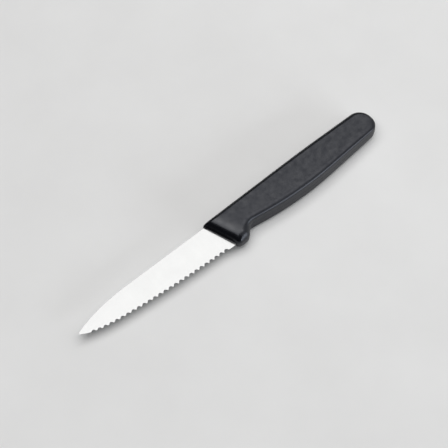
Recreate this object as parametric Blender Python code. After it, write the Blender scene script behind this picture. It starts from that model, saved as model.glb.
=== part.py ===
# Small serrated vegetable knife, lying on its side.
#
# Two pieces: a stamped steel blade with its tang, and a plastic handle moulded round the tang.
# X runs from the tip to the butt, Y from the cutting edge to the spine, and Z up through the
# thickness, out of the blade's marked side. The drawing's origin is where the handle's front
# meets the line of the blade's spine, on the surface that the knife lies on. Both pieces are
# then placed so that the middle of the bounding box's underside is at the world's origin.

import math

import bmesh
import bpy
from mathutils import Matrix, Vector
from mathutils.geometry import interpolate_bezier

# Driving dimensions, in metres and degrees

CLEARANCE = 0.0003              # gap kept between the moulded plastic and the steel

BLADE_LENGTH = 0.0856           # tip to the handle's front, along the spine line
HEEL_DEPTH = 0.0180             # spine line to the cutting edge at the handle
TIP_DEPTH = 0.0060              # spine line to the point of the blade
SPINE_BEND = 0.0365             # from the tip back to where the spine starts to drop
SPINE_END_DEPTH = 0.0047        # spine line to the shoulder above the point
SPINE_END_ANGLE = 18.5
POINT_SETBACK = 0.0014          # shoulder above the point, back from the tip
EDGE_BEND = 0.0233              # from the tip back to where the edge starts to rise
EDGE_BEND_DEPTH = 0.0127
EDGE_HEEL_ANGLE = 2.4
EDGE_BEND_ANGLE = 7.5
EDGE_TIP_ANGLE = 33.0

SPINE_THICKNESS = 0.0012
TIP_THICKNESS = 0.0008
EDGE_THICKNESS = 0.0003
TIP_GRIND_DEPTH = 0.0124        # where the two ground faces reach the edge thickness, at the tip
GRIND_RUNOUT = 0.0030           # length over which the grind fades into the tang

NOTCH_PITCH = 0.0032
NOTCH_DEPTH_TIP = 0.00088       # depth of the notch nearest the tip
NOTCH_DEPTH_HEEL = 0.00138      # depth of the notch nearest the handle
FIRST_NOTCH = 0.0072            # from the point to the first notch's middle, along the edge
LAST_NOTCH = 0.0061             # from the last notch's middle to the handle, along the edge
WHEEL_RADIUS = 0.0030           # rounding of the wheel that grinds the notches
WHEEL_HALF_WIDTH = 0.0023
FLUTE_TILT = 15.0               # the notches are ground at this slope into the lower face
FLUTE_REACH = 0.0055            # how far a notch's cutter runs in under the blade

SHOULDER_DEPTH = 0.0015         # spine line to the top of the tang at the handle's front
TANG_LENGTH = 0.0720
TANG_ROOT_DEPTH = 0.0114        # spine line to the underside of the tang behind the heel
TANG_END_TOP = 0.0036
TANG_END_BOTTOM = 0.0096
TANG_END_RADIUS = 0.0025
HEEL_INSERT = 0.0034            # how far the heel runs into the handle
HEEL_RADIUS = 0.0010
ROOT_RADIUS = 0.0015
KEY_HOLE_COUNT = 3
KEY_HOLE_DIAMETER = 0.0040
FIRST_KEY_HOLE = 0.0220         # from the handle's front
KEY_HOLE_SPACING = 0.0200

HANDLE_LENGTH = 0.1118
HANDLE_THICKNESS = 0.0119
BUTT_THICKNESS = 0.0090
FLAT_LENGTH = 0.0500            # stretch of full thickness, from the front
TAPER_POWER = 1.4
FRONT_RAKE = 19.3               # the handle's front leans back from spine to edge
BACK_RISE_FRONT = 0.00075       # handle's back above the spine line, at the front
BACK_RISE_MIDDLE = 0.00163
BACK_RISE_BUTT = 0.00137
BACK_PEAK = 0.0702              # from the front back to the highest point of the back
BACK_RADIUS = 0.6000
GUARD_LIP = 0.0020              # guard below the heel's cutting edge
GUARD_LENGTH = 0.0071
GUARD_RISE = 0.0003
GUARD_REAR_RUN = 0.0053         # length over which the guard rises to the neck
GUARD_FRONT_RADIUS = 0.0024
GUARD_REAR_RADIUS = 0.0042
NECK_DEPTH = 0.0141
NECK_RADIUS = 0.0018
NECK_SPREAD = 0.0065            # how much wider the neck's hollow is on the broad faces
BELLY_DEPTH = 0.01880
BELLY_PEAK = 0.0507             # from the front back to the deepest point of the belly
BELLY_RADIUS = 0.2000
BUTT_DEPTH = 0.0139
BUTT_LOWER_RADIUS = 0.0068
BUTT_UPPER_RADIUS = 0.0080
FRONT_CORNER_RADIUS = 0.0005
SMALLEST_RADIUS = 0.0005

BELLY_ROUND_IN = 0.0028         # rounding of the belly's edges, measured inwards and downwards
BELLY_ROUND_DOWN = 0.0022
GUARD_ROUND_IN = 0.0044         # the same on the guard, which ends in a ball
GUARD_ROUND_DOWN = 0.0042
BACK_ROUND_IN = 0.0030
BACK_ROUND_DOWN = 0.0046
BUTT_ROUND_IN = 0.0026
NOSE_LENGTH = 0.0060            # from the front to where the broad faces are level
NOSE_WALL = 0.0012              # half the height of the upright wall round the blade
SIDE_DRAFT = 0.0001             # the mould's draft on each half of the side walls

STEEL_COLOUR = (0.80, 0.80, 0.79, 1.0)
STEEL_ROUGHNESS = 0.25
PLASTIC_COLOUR = (0.022, 0.022, 0.025, 1.0)
PLASTIC_ROUGHNESS = 0.50
SHARP_ANGLE = 25.0              # edges between faces that meet at more than this stay crisp

# How finely the curves are divided

OUTLINE_STEPS = 14
NOSE_STEPS = 5
TANG_STEPS = 6
FLUTE_STEPS = 8
HOLE_STEPS = 24
FRONT_STEPS = 5
GUARD_STEPS = 8
BELLY_STEPS = 16
BUTT_STEPS = 14
BACK_STEPS = 4
ROUND_LEVELS = 8
TAPER_STEPS = 7
NOSE_ROUND_STEPS = 8

# Values that follow from the driving dimensions

MIDDLE_Z = HANDLE_THICKNESS / 2
RAKE = math.tan(math.radians(FRONT_RAKE))
GUARD_DEPTH = HEEL_DEPTH + GUARD_LIP
HEEL_X = HEEL_DEPTH * RAKE
HEEL_END_X = HEEL_X + HEEL_INSERT
CUTTER_MARGIN = 0.0040          # how far a cutter reaches past what it cuts
GRIND_MARGIN = 0.0004           # the same below the edge, where the two ground faces nearly meet
LONGEST_SETBACK = 0.8           # the share of a side that one rounded corner may use up
DEEPEST_ROUND = 0.9             # the share of the half thickness that a rounding may use up
NOSE_OVERSHOOT = 0.00002        # how far above the broad faces the nose's rounding ends


def collection_named(name):
    collection = bpy.data.collections.new(name)
    bpy.context.scene.collection.children.link(collection)
    return collection


def object_from(mesh, name, collection):
    item = bpy.data.objects.new(name, mesh)
    collection.objects.link(item)
    return item


def heading(degrees):
    angle = math.radians(degrees)
    return Vector((math.cos(angle), math.sin(angle)))


def curve_run(start, start_heading, end, end_heading, steps):
    """Points of one smooth curve from start to end, leaving and arriving on the given headings."""
    reach = (end - start).length / 3
    handle_a = start + heading(start_heading) * reach
    handle_b = end - heading(end_heading) * reach
    run = interpolate_bezier(start, handle_a, handle_b, end, steps)
    return [Vector((p.x, p.y)) for p in run]


def crossing(line_a, line_b):
    """Where two endless lines meet, each given by two of its points."""
    start, along = line_a[0], line_a[1] - line_a[0]
    other, across = line_b[0], line_b[1] - line_b[0]
    share = (other - start).cross(across) / along.cross(across)
    return start + along * share


def shifted(line, distance):
    """The same line moved to its left by the distance."""
    along = (line[1] - line[0]).normalized()
    left = Vector((-along.y, along.x)) * distance
    return [line[0] + left, line[1] + left]


def corner_arc(before, corner, after, radius, steps):
    """Points that round off one corner of an outline, as far as its two sides allow."""
    towards_before = (before - corner).normalized()
    towards_after = (after - corner).normalized()
    half_angle = towards_before.angle(towards_after) / 2
    longest = LONGEST_SETBACK * min((before - corner).length, (after - corner).length)
    radius = min(radius, longest * math.tan(half_angle))
    setback = radius / math.tan(half_angle)
    middle = (towards_before + towards_after).normalized()
    centre = corner + middle * (radius / math.sin(half_angle))
    first = corner + towards_before * setback - centre
    last = corner + towards_after * setback - centre
    turn = first.angle_signed(last)
    points = []
    for i in range(steps):
        swing = -turn * i / (steps - 1)
        points.append(centre + Matrix.Rotation(swing, 2) @ first)
    return points


def rounded_outline(corners, offsets):
    """An outline of straight sides and round corners, run with its inside on the left.

    Each corner gives its place, its radius, 1 if it points outwards or -1 if inwards, and its
    number of points. offsets says how far each side, from its corner to the next, moves inwards.
    """
    count = len(corners)
    sides = []
    for i in range(count):
        side = [corners[i][0], corners[(i + 1) % count][0]]
        sides.append(shifted(side, offsets[i]))
    places = [crossing(sides[i - 1], sides[i]) for i in range(count)]
    points = []
    for i in range(count):
        radius, outwards, steps = corners[i][1:]
        mean_offset = (offsets[i - 1] + offsets[i]) / 2
        radius = max(radius - outwards * mean_offset, SMALLEST_RADIUS)
        points += corner_arc(places[i - 1], places[i], places[(i + 1) % count], radius, steps)
    return points


def flat_plate(outlines, half_thickness, name, collection):
    """A mesh plate with the given outline and holes, centred on the blade's mid-plane."""
    drawing = bpy.data.curves.new(name, "CURVE")
    drawing.dimensions = "2D"
    drawing.fill_mode = "BOTH"
    drawing.extrude = half_thickness
    for outline in outlines:
        spline = drawing.splines.new("POLY")
        spline.points.add(len(outline) - 1)
        for point, place in zip(spline.points, outline):
            point.co = (place.x, place.y, 0.0, 1.0)
        spline.use_cyclic_u = True
    flat = object_from(drawing, name + "_outline", collection)
    flat.location.z = MIDDLE_Z
    return mesh_from_curve(flat, name, collection)


def mesh_from_curve(flat, name, collection):
    bpy.context.view_layer.update()
    evaluated = flat.evaluated_get(bpy.context.evaluated_depsgraph_get())
    mesh = bpy.data.meshes.new_from_object(evaluated)
    work = bmesh.new()
    work.from_mesh(mesh)
    bmesh.ops.remove_doubles(work, verts=work.verts, dist=1e-6)
    bmesh.ops.recalc_face_normals(work, faces=work.faces)
    work.to_mesh(mesh)
    work.free()
    solid = object_from(mesh, name, collection)
    solid.matrix_world = flat.matrix_world
    bpy.data.objects.remove(flat)
    return solid


def make_cutter(item):
    item.hide_render = True
    item.display_type = "WIRE"


def add_boolean(item, other, operation):
    step = item.modifiers.new(operation.title(), "BOOLEAN")
    step.operation = operation
    step.solver = "EXACT"
    step.object = other


def loft(rings, name, collection):
    """A closed solid through rings of equally many points, with a flat cap on both ends."""
    work = bmesh.new()
    loops = [[work.verts.new(place) for place in ring] for ring in rings]
    count = len(rings[0])
    for low, high in zip(loops, loops[1:]):
        for i in range(count):
            j = (i + 1) % count
            work.faces.new((low[i], low[j], high[j], high[i]))
    work.faces.new(reversed(loops[0]))
    work.faces.new(loops[-1])
    bmesh.ops.recalc_face_normals(work, faces=work.faces)
    mesh = bpy.data.meshes.new(name)
    work.to_mesh(mesh)
    work.free()
    return object_from(mesh, name, collection)


def steel():
    material = bpy.data.materials.new("blade_steel")
    material.use_nodes = True
    shader = material.node_tree.nodes["Principled BSDF"]
    shader.inputs["Base Color"].default_value = STEEL_COLOUR
    shader.inputs["Metallic"].default_value = 1.0
    shader.inputs["Roughness"].default_value = STEEL_ROUGHNESS
    return material


def black_plastic():
    material = bpy.data.materials.new("handle_plastic")
    material.use_nodes = True
    shader = material.node_tree.nodes["Principled BSDF"]
    shader.inputs["Base Color"].default_value = PLASTIC_COLOUR
    shader.inputs["Metallic"].default_value = 0.0
    shader.inputs["Roughness"].default_value = PLASTIC_ROUGHNESS
    return material


def finish(item, material):
    item.data.materials.clear()
    item.data.materials.append(material)
    item.data.shade_smooth()
    item.data.set_sharp_from_angle(angle=math.radians(SHARP_ANGLE))


# The blade's outline

def edge_line():
    """The line of the tooth points, from the point of the blade to the handle's front."""
    tip = Vector((-BLADE_LENGTH, -TIP_DEPTH))
    bend = Vector((-BLADE_LENGTH + EDGE_BEND, -EDGE_BEND_DEPTH))
    heel = Vector((HEEL_X, -HEEL_DEPTH))
    outer = curve_run(tip, -EDGE_TIP_ANGLE, bend, -EDGE_BEND_ANGLE, OUTLINE_STEPS)
    inner = curve_run(bend, -EDGE_BEND_ANGLE, heel, -EDGE_HEEL_ANGLE, OUTLINE_STEPS)
    return outer + inner[1:]


def spine_line():
    """The blade's back, from the handle's front to just above the point."""
    front = Vector((-CLEARANCE, 0.0))
    bend = Vector((-BLADE_LENGTH + SPINE_BEND, 0.0))
    end = Vector((-BLADE_LENGTH + POINT_SETBACK, -SPINE_END_DEPTH))
    tip = Vector((-BLADE_LENGTH, -TIP_DEPTH))
    drop = curve_run(bend, 180.0, end, 180.0 + SPINE_END_ANGLE, OUTLINE_STEPS)
    nose = curve_run(end, 180.0 + SPINE_END_ANGLE, tip, 270.0, NOSE_STEPS)
    return [front] + drop + nose[1:-1]


def tang_corners():
    """The corners of the tang, from the top of its front round to the heel."""
    foot = Vector((SHOULDER_DEPTH * RAKE - CLEARANCE, -SHOULDER_DEPTH))
    end_top = Vector((TANG_LENGTH, -TANG_END_TOP))
    end_bottom = Vector((TANG_LENGTH, -TANG_END_BOTTOM))
    root = Vector((HEEL_END_X, -TANG_ROOT_DEPTH))
    slope = math.tan(math.radians(EDGE_HEEL_ANGLE))
    heel = Vector((HEEL_END_X, -HEEL_DEPTH - HEEL_INSERT * slope))
    return foot, end_top, end_bottom, root, heel


def key_holes(radius):
    """The holes that lock the tang into the plastic."""
    foot, end_top, end_bottom, root, heel = tang_corners()
    holes = []
    for i in range(KEY_HOLE_COUNT):
        x = FIRST_KEY_HOLE + i * KEY_HOLE_SPACING
        share = (x - root.x) / (end_bottom.x - root.x)
        top = foot.y + (end_top.y - foot.y) * (x - foot.x) / (end_top.x - foot.x)
        bottom = root.y + (end_bottom.y - root.y) * share
        centre = Vector((x, (top + bottom) / 2))
        hole = []
        for j in range(HOLE_STEPS):
            hole.append(centre + heading(360 * j / HOLE_STEPS) * radius)
        holes.append(hole)
    return holes


def blade_outline():
    foot, end_top, end_bottom, root, heel = tang_corners()
    edge = edge_line()
    outline = edge[:]
    outline += corner_arc(edge[-1], heel, root, HEEL_RADIUS, TANG_STEPS)
    outline += corner_arc(heel, root, end_bottom, ROOT_RADIUS, TANG_STEPS)
    outline += corner_arc(root, end_bottom, end_top, TANG_END_RADIUS, TANG_STEPS)
    outline += corner_arc(end_bottom, end_top, foot, TANG_END_RADIUS, TANG_STEPS)
    outline.append(foot)
    outline += spine_line()
    return outline


# The blade's thickness

def half_thickness(x, depth):
    """Half the blade's thickness at a depth below the spine line, in front of the handle."""
    share = (x + BLADE_LENGTH) / (BLADE_LENGTH + HEEL_X)
    at_spine = TIP_THICKNESS + (SPINE_THICKNESS - TIP_THICKNESS) * share
    full_depth = TIP_GRIND_DEPTH + (HEEL_DEPTH - TIP_GRIND_DEPTH) * share
    thickness = at_spine + (EDGE_THICKNESS - at_spine) * depth / full_depth
    return thickness / 2


def grind_body(grow, name, collection):
    """The wedge between the two ground faces, which fades to full thickness in the handle."""
    top = CUTTER_MARGIN
    bottom = -HEEL_DEPTH - GRIND_MARGIN
    rings = []
    for x in (-BLADE_LENGTH - GRIND_MARGIN, HEEL_END_X - GRIND_RUNOUT):
        upper = half_thickness(x, -top) + grow
        lower = half_thickness(x, -bottom) + grow
        rings.append(grind_ring(x, top, upper, bottom, lower))
    for x in (HEEL_END_X, TANG_LENGTH + CUTTER_MARGIN):
        full = SPINE_THICKNESS / 2 + grow
        rings.append(grind_ring(x, top, full, bottom, full))
    return loft(rings, name, collection)


def grind_ring(x, top, upper, bottom, lower):
    return [
        Vector((x, top, MIDDLE_Z - upper)),
        Vector((x, top, MIDDLE_Z + upper)),
        Vector((x, bottom, MIDDLE_Z + lower)),
        Vector((x, bottom, MIDDLE_Z - lower)),
    ]


# The serrations

def notch_places():
    """Each notch's middle on the line of the tooth points, that line's direction, its depth."""
    line = edge_line()
    lengths = [0.0]
    for a, b in zip(line, line[1:]):
        lengths.append(lengths[-1] + (b - a).length)
    last = round((lengths[-1] - LAST_NOTCH - FIRST_NOTCH) / NOTCH_PITCH)
    places = []
    for i in range(last + 1):
        wanted = FIRST_NOTCH + i * NOTCH_PITCH
        k = max(n for n in range(len(line) - 1) if lengths[n] <= wanted)
        along = (line[k + 1] - line[k]).normalized()
        depth = NOTCH_DEPTH_TIP + (NOTCH_DEPTH_HEEL - NOTCH_DEPTH_TIP) * i / last
        places.append((line[k] + along * (wanted - lengths[k]), along, depth))
    return places


def flute_cutter(place, along, depth, work):
    """One grinding wheel's path: an arc-topped bar that slopes down under the blade."""
    tilt = math.radians(FLUTE_TILT)
    edgewise = Vector((along.x, along.y, 0.0))
    inward = Vector((-along.y, along.x, 0.0))
    up = Vector((0.0, 0.0, 1.0))
    crown = Vector((place.x, place.y, MIDDLE_Z)) + inward * depth
    crown.z += half_thickness(crown.x, -crown.y)
    run = -inward * math.cos(tilt) + up * math.sin(tilt)
    rise = up * math.cos(tilt) + inward * math.sin(tilt)
    profile = []
    for i in range(FLUTE_STEPS + 1):
        across = WHEEL_HALF_WIDTH * (1 - 2 * i / FLUTE_STEPS)
        drop = WHEEL_RADIUS - math.sqrt(WHEEL_RADIUS ** 2 - across ** 2)
        profile.append(edgewise * across - rise * drop)
    profile.append(-edgewise * WHEEL_HALF_WIDTH - rise * CUTTER_MARGIN)
    profile.append(edgewise * WHEEL_HALF_WIDTH - rise * CUTTER_MARGIN)
    inner = [work.verts.new(crown + p - run * FLUTE_REACH) for p in profile]
    outer = [work.verts.new(crown + p + run * CUTTER_MARGIN) for p in profile]
    for i in range(len(profile)):
        j = (i + 1) % len(profile)
        work.faces.new((inner[i], inner[j], outer[j], outer[i]))
    work.faces.new(reversed(inner))
    work.faces.new(outer)


def flute_set(places, name, collection):
    work = bmesh.new()
    for place, along, depth in places:
        flute_cutter(place, along, depth, work)
    bmesh.ops.recalc_face_normals(work, faces=work.faces)
    mesh = bpy.data.meshes.new(name)
    work.to_mesh(mesh)
    work.free()
    cutter = object_from(mesh, name, collection)
    make_cutter(cutter)
    return cutter


def build_blade(parts, cutters):
    """The stamped blank, ground to a wedge and then notched from its lower face."""
    hole_radius = KEY_HOLE_DIAMETER / 2
    outlines = [blade_outline()] + key_holes(hole_radius)
    blade = flat_plate(outlines, SPINE_THICKNESS, "blade", parts)
    grind = grind_body(0.0, "blade_grind", cutters)
    make_cutter(grind)
    add_boolean(blade, grind, "INTERSECT")
    places = notch_places()
    add_boolean(blade, flute_set(places[0::2], "notches_odd", cutters), "DIFFERENCE")
    add_boolean(blade, flute_set(places[1::2], "notches_even", cutters), "DIFFERENCE")
    finish(blade, steel())
    return blade


# The handle

def kept_depth(downward):
    """The depth of a rounding, kept to what the handle's thickness allows."""
    return min(downward, DEEPEST_ROUND * MIDDLE_Z)


def rounding(height, inward, downward):
    """How far a side has moved inwards at a height above the mid-plane."""
    downward = kept_depth(downward)
    climb = (height - (MIDDLE_Z - downward)) / downward
    climb = min(max(climb, 0.0), 1.0)
    return inward * (1 - math.sqrt(1 - climb ** 2))


def handle_ring(height):
    """The handle's outline at a height above its mid-plane."""
    share = height / MIDDLE_Z
    back_offset = rounding(height, BACK_ROUND_IN, BACK_ROUND_DOWN) + SIDE_DRAFT * share
    belly_offset = rounding(height, BELLY_ROUND_IN, BELLY_ROUND_DOWN) + SIDE_DRAFT * share
    guard_offset = rounding(height, GUARD_ROUND_IN, GUARD_ROUND_DOWN) + SIDE_DRAFT * share
    butt_offset = rounding(height, BUTT_ROUND_IN, BACK_ROUND_DOWN) + SIDE_DRAFT * share
    neck_radius = NECK_RADIUS + NECK_SPREAD * share
    front_top = Vector((-BACK_RISE_FRONT * RAKE, BACK_RISE_FRONT))
    front_bottom = Vector((GUARD_DEPTH * RAKE, -GUARD_DEPTH))
    guard_rear = Vector((front_bottom.x + GUARD_LENGTH, -GUARD_DEPTH + GUARD_RISE))
    neck = Vector((guard_rear.x + GUARD_REAR_RUN, -NECK_DEPTH))
    corners = [
        (front_top, FRONT_CORNER_RADIUS, 0, FRONT_STEPS),
        (front_bottom, GUARD_FRONT_RADIUS, 1, GUARD_STEPS),
        (guard_rear, GUARD_REAR_RADIUS, 1, GUARD_STEPS),
        (neck, neck_radius, -1, GUARD_STEPS),
        (Vector((BELLY_PEAK, -BELLY_DEPTH)), BELLY_RADIUS, 1, BELLY_STEPS),
        (Vector((HANDLE_LENGTH, -BUTT_DEPTH)), BUTT_LOWER_RADIUS, 1, BUTT_STEPS),
        (Vector((HANDLE_LENGTH, BACK_RISE_BUTT)), BUTT_UPPER_RADIUS, 1, BUTT_STEPS),
        (Vector((BACK_PEAK, BACK_RISE_MIDDLE)), BACK_RADIUS, 1, BACK_STEPS),
    ]
    offsets = [0.0, guard_offset, guard_offset, belly_offset, belly_offset]
    offsets += [butt_offset, back_offset, back_offset]
    return rounded_outline(corners, offsets)


def taper(x):
    """The handle's thickness at a place along it, as a share of its full thickness."""
    length = HANDLE_LENGTH - FLAT_LENGTH
    step = length / TAPER_STEPS
    place = (x - FLAT_LENGTH) / step
    if place <= 0:
        return 1.0
    low = math.floor(place)
    loss = 1 - BUTT_THICKNESS / HANDLE_THICKNESS
    here = (low / TAPER_STEPS) ** TAPER_POWER
    there = ((low + 1) / TAPER_STEPS) ** TAPER_POWER
    return 1 - loss * (here + (there - here) * (place - low))


def taper_thickness(mesh):
    """Thin the handle towards the butt, one flat strip of the broad faces at a time."""
    work = bmesh.new()
    work.from_mesh(mesh)
    for i in range(TAPER_STEPS):
        x = FLAT_LENGTH + (HANDLE_LENGTH - FLAT_LENGTH) * i / TAPER_STEPS
        everything = work.verts[:] + work.edges[:] + work.faces[:]
        bmesh.ops.bisect_plane(work, geom=everything, plane_co=(x, 0, 0), plane_no=(1, 0, 0))
    for vert in work.verts:
        vert.co.z = MIDDLE_Z + (vert.co.z - MIDDLE_Z) * taper(vert.co.x)
    work.to_mesh(mesh)
    work.free()


def handle_levels():
    """Heights above the mid-plane at which the handle's outline is drawn."""
    depth = kept_depth(BACK_ROUND_DOWN)
    levels = [0.0]
    for i in range(ROUND_LEVELS + 1):
        angle = math.radians(90 * i / ROUND_LEVELS)
        levels.append(MIDDLE_Z - depth + depth * math.sin(angle))
    return levels


def nose_profile(side):
    """What is milled off one broad face at the front: distances behind the front, and heights."""
    full = MIDDLE_Z + NOSE_OVERSHOOT
    top = MIDDLE_Z + CUTTER_MARGIN
    first = math.asin(NOSE_WALL / full)
    profile = [(-CUTTER_MARGIN, NOSE_WALL)]
    for i in range(NOSE_ROUND_STEPS + 1):
        turn = first + (math.pi / 2 - first) * i / NOSE_ROUND_STEPS
        profile.append((NOSE_LENGTH * (1 - math.cos(turn)), full * math.sin(turn)))
    profile += [(NOSE_LENGTH, top), (-CUTTER_MARGIN, top)]
    return [(distance, MIDDLE_Z + side * height) for distance, height in profile]


def build_nose_cutters(cutters):
    """Two bars along the sloping front, one for each broad face, that leave a round nose."""
    rearwards = heading(FRONT_RAKE)
    upwards = heading(FRONT_RAKE + 90)
    low = -GUARD_DEPTH / math.cos(math.radians(FRONT_RAKE)) - CUTTER_MARGIN
    high = BACK_RISE_MIDDLE + CUTTER_MARGIN
    bars = []
    for side, name in ((1, "nose_above"), (-1, "nose_below")):
        rings = []
        for along in (low, high):
            ring = []
            for distance, z in nose_profile(side):
                place = rearwards * distance + upwards * along
                ring.append(Vector((place.x, place.y, z)))
            rings.append(ring)
        bar = loft(rings, name, cutters)
        make_cutter(bar)
        bars.append(bar)
    return bars


def build_pocket(cutters):
    """The space for the tang, open at the handle's front, with a pillar left for each hole."""
    foot, end_top, end_bottom, root, heel = tang_corners()
    front_x = -CUTTER_MARGIN
    top_slope = (end_top.y - foot.y) / (end_top.x - foot.x)
    front_top = Vector((front_x, foot.y + top_slope * (front_x - foot.x)))
    front_bottom = Vector((front_x, heel.y))
    corners = [
        (front_bottom, SMALLEST_RADIUS, 0, TANG_STEPS),
        (heel, HEEL_RADIUS, 1, TANG_STEPS),
        (root, ROOT_RADIUS, -1, TANG_STEPS),
        (end_bottom, TANG_END_RADIUS, 1, TANG_STEPS),
        (end_top, TANG_END_RADIUS, 1, TANG_STEPS),
        (front_top, SMALLEST_RADIUS, 0, TANG_STEPS),
    ]
    outline = rounded_outline(corners, [-CLEARANCE] * len(corners))
    pillars = key_holes(KEY_HOLE_DIAMETER / 2 - CLEARANCE)
    reach = SPINE_THICKNESS + 2 * CLEARANCE
    pocket = flat_plate([outline] + pillars, reach, "tang_pocket", cutters)
    make_cutter(pocket)
    grind = grind_body(CLEARANCE, "pocket_grind", cutters)
    make_cutter(grind)
    add_boolean(pocket, grind, "INTERSECT")
    return pocket


def build_handle(parts, cutters):
    """The moulded grip: outlines lofted from face to face, thinned, rounded and hollowed."""
    levels = handle_levels()
    heights = [-h for h in reversed(levels[1:])] + levels
    rings = []
    for height in heights:
        outline = handle_ring(abs(height))
        rings.append([Vector((p.x, p.y, MIDDLE_Z + height)) for p in outline])
    handle = loft(rings, "handle", parts)
    taper_thickness(handle.data)
    for bar in build_nose_cutters(cutters):
        add_boolean(handle, bar, "DIFFERENCE")
    add_boolean(handle, build_pocket(cutters), "DIFFERENCE")
    finish(handle, black_plastic())
    return handle


def centre_on_origin(items, cutters):
    """Put the middle of the bounding box's underside at the world's origin."""
    bpy.context.view_layer.update()
    graph = bpy.context.evaluated_depsgraph_get()
    places = []
    for item in items:
        shape = item.evaluated_get(graph).to_mesh()
        places += [item.matrix_world @ vert.co for vert in shape.vertices]
        item.evaluated_get(graph).to_mesh_clear()
    low = [min(p[axis] for p in places) for axis in range(3)]
    high = [max(p[axis] for p in places) for axis in range(3)]
    shift = Vector(((low[0] + high[0]) / 2, (low[1] + high[1]) / 2, low[2]))
    for item in items + list(cutters.objects):
        item.location -= shift


def main():
    for item in list(bpy.data.objects):
        bpy.data.objects.remove(item)
    parts = collection_named("vegetable_knife")
    cutters = collection_named("cutters")
    blade = build_blade(parts, cutters)
    handle = build_handle(parts, cutters)
    centre_on_origin([blade, handle], cutters)


main()
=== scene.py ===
# %% [markdown]
# # A small serrated vegetable knife
#
# The knife lies on the broad side of its handle, so its blade hovers 6 mm above the worktop.
# It has two pieces: a stamped and ground steel blade, and a black plastic handle that is
# moulded round the blade's tang.
#
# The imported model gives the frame: where each piece is and how large. This lesson makes a
# finer mesh for each of the two pieces in that frame, gives it a finish made of shader nodes,
# and lights it as a photographer would light a glossy dark thing beside a mirror-like one.

import math

import bmesh
import bpy
from mathutils import Matrix, Vector
from mathutils.geometry import interpolate_bezier


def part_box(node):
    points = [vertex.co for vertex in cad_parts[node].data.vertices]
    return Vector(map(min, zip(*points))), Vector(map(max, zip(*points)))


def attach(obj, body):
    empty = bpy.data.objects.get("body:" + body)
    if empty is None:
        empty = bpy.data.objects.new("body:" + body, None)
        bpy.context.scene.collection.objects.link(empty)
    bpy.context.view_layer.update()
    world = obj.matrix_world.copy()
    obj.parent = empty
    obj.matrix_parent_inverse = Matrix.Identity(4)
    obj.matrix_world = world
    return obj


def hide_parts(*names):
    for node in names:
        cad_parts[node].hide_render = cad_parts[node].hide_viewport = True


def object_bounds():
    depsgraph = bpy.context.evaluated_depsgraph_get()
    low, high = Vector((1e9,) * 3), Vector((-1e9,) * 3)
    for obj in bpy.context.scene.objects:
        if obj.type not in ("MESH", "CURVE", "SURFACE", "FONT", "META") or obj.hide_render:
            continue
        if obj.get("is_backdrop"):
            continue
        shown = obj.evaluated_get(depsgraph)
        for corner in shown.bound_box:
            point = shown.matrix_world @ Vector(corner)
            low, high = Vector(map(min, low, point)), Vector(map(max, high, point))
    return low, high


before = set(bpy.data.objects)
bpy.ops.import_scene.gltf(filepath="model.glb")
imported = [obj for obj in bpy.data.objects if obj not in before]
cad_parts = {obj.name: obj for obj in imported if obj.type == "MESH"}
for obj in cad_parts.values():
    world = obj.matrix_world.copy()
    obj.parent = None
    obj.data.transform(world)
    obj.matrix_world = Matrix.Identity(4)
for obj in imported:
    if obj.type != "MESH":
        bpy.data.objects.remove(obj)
cad_box = [list(corner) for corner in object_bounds()]

# %% [markdown]
# ## Where things are
#
# Every place below is measured from one corner: the point where the line of the blade's
# spine meets the front of the handle. X runs to the butt, Y from the edge to the spine, and
# Z upwards. Reading that corner from the frame, and not typing it in, keeps the fine meshes
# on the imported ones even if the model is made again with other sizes.

# %% Read the reference corner from the frame
MM_PER_METRE = 1000.0
HANDLE_LENGTH = 0.1118          # from the corner to the butt
BLADE_LENGTH = 0.0856           # from the corner to the tip

blade_low, blade_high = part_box("blade")
handle_low, handle_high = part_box("handle")
MIDDLE_Z = (handle_low.z + handle_high.z) / 2
HALF_THICKNESS = (handle_high.z - handle_low.z) / 2
CORNER = Vector((handle_high.x - HANDLE_LENGTH, blade_high.y, 0.0))


def mm(length):
    """A length in metres as rounded millimetres, for what the cells print."""
    return round(length * MM_PER_METRE, 2)


print("corner at", [mm(v) for v in CORNER], "mm, mid-plane at", mm(MIDDLE_Z), "mm")
print("tip off by", mm(CORNER.x - BLADE_LENGTH - blade_low.x), "mm")

# %% [markdown]
# ## The camera
#
# The knife was photographed from 60 degrees above the worktop, with the butt pointing away to
# the upper right. A long lens at 750 mm gives the same mild perspective. The camera is placed
# on a ray from the point that it looks at, which is easier to reason about than six numbers
# for place and rotation.

# %% Place the camera
VIEW_AZIMUTH = math.radians(-40.718)
VIEW_ELEVATION = math.radians(60.0)
VIEW_DISTANCE = 0.75018
LOOK_AT = CORNER + Vector((0.01183, -0.00248, 0.0))
IMAGE_WIDTH = 448
FOCAL_PIXELS = 1443.0           # focal length in pixels of a picture that wide
HALF_PIXEL = 0.5                # the lens points at a pixel's middle, not between two pixels
SENSOR_WIDTH = 36.0             # in millimetres
NEAREST_SEEN = 0.01

backwards = Vector((
    math.sin(VIEW_AZIMUTH) * math.cos(VIEW_ELEVATION),
    -math.cos(VIEW_AZIMUTH) * math.cos(VIEW_ELEVATION),
    math.sin(VIEW_ELEVATION),
))

camera_data = bpy.data.cameras.new("camera")
camera_data.sensor_width = SENSOR_WIDTH
camera_data.lens = FOCAL_PIXELS * SENSOR_WIDTH / IMAGE_WIDTH
camera_data.shift_x = -HALF_PIXEL / IMAGE_WIDTH
camera_data.shift_y = HALF_PIXEL / IMAGE_WIDTH
camera_data.clip_start = NEAREST_SEEN
camera = bpy.data.objects.new("camera", camera_data)
camera.location = LOOK_AT + backwards * VIEW_DISTANCE
camera.rotation_mode = "QUATERNION"
camera.rotation_quaternion = (-backwards).to_track_quat("-Z", "Y")
bpy.context.scene.collection.objects.link(camera)
bpy.context.scene.camera = camera
print("camera at", [mm(v) for v in camera.location], "mm, lens", round(camera_data.lens, 1))

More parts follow.
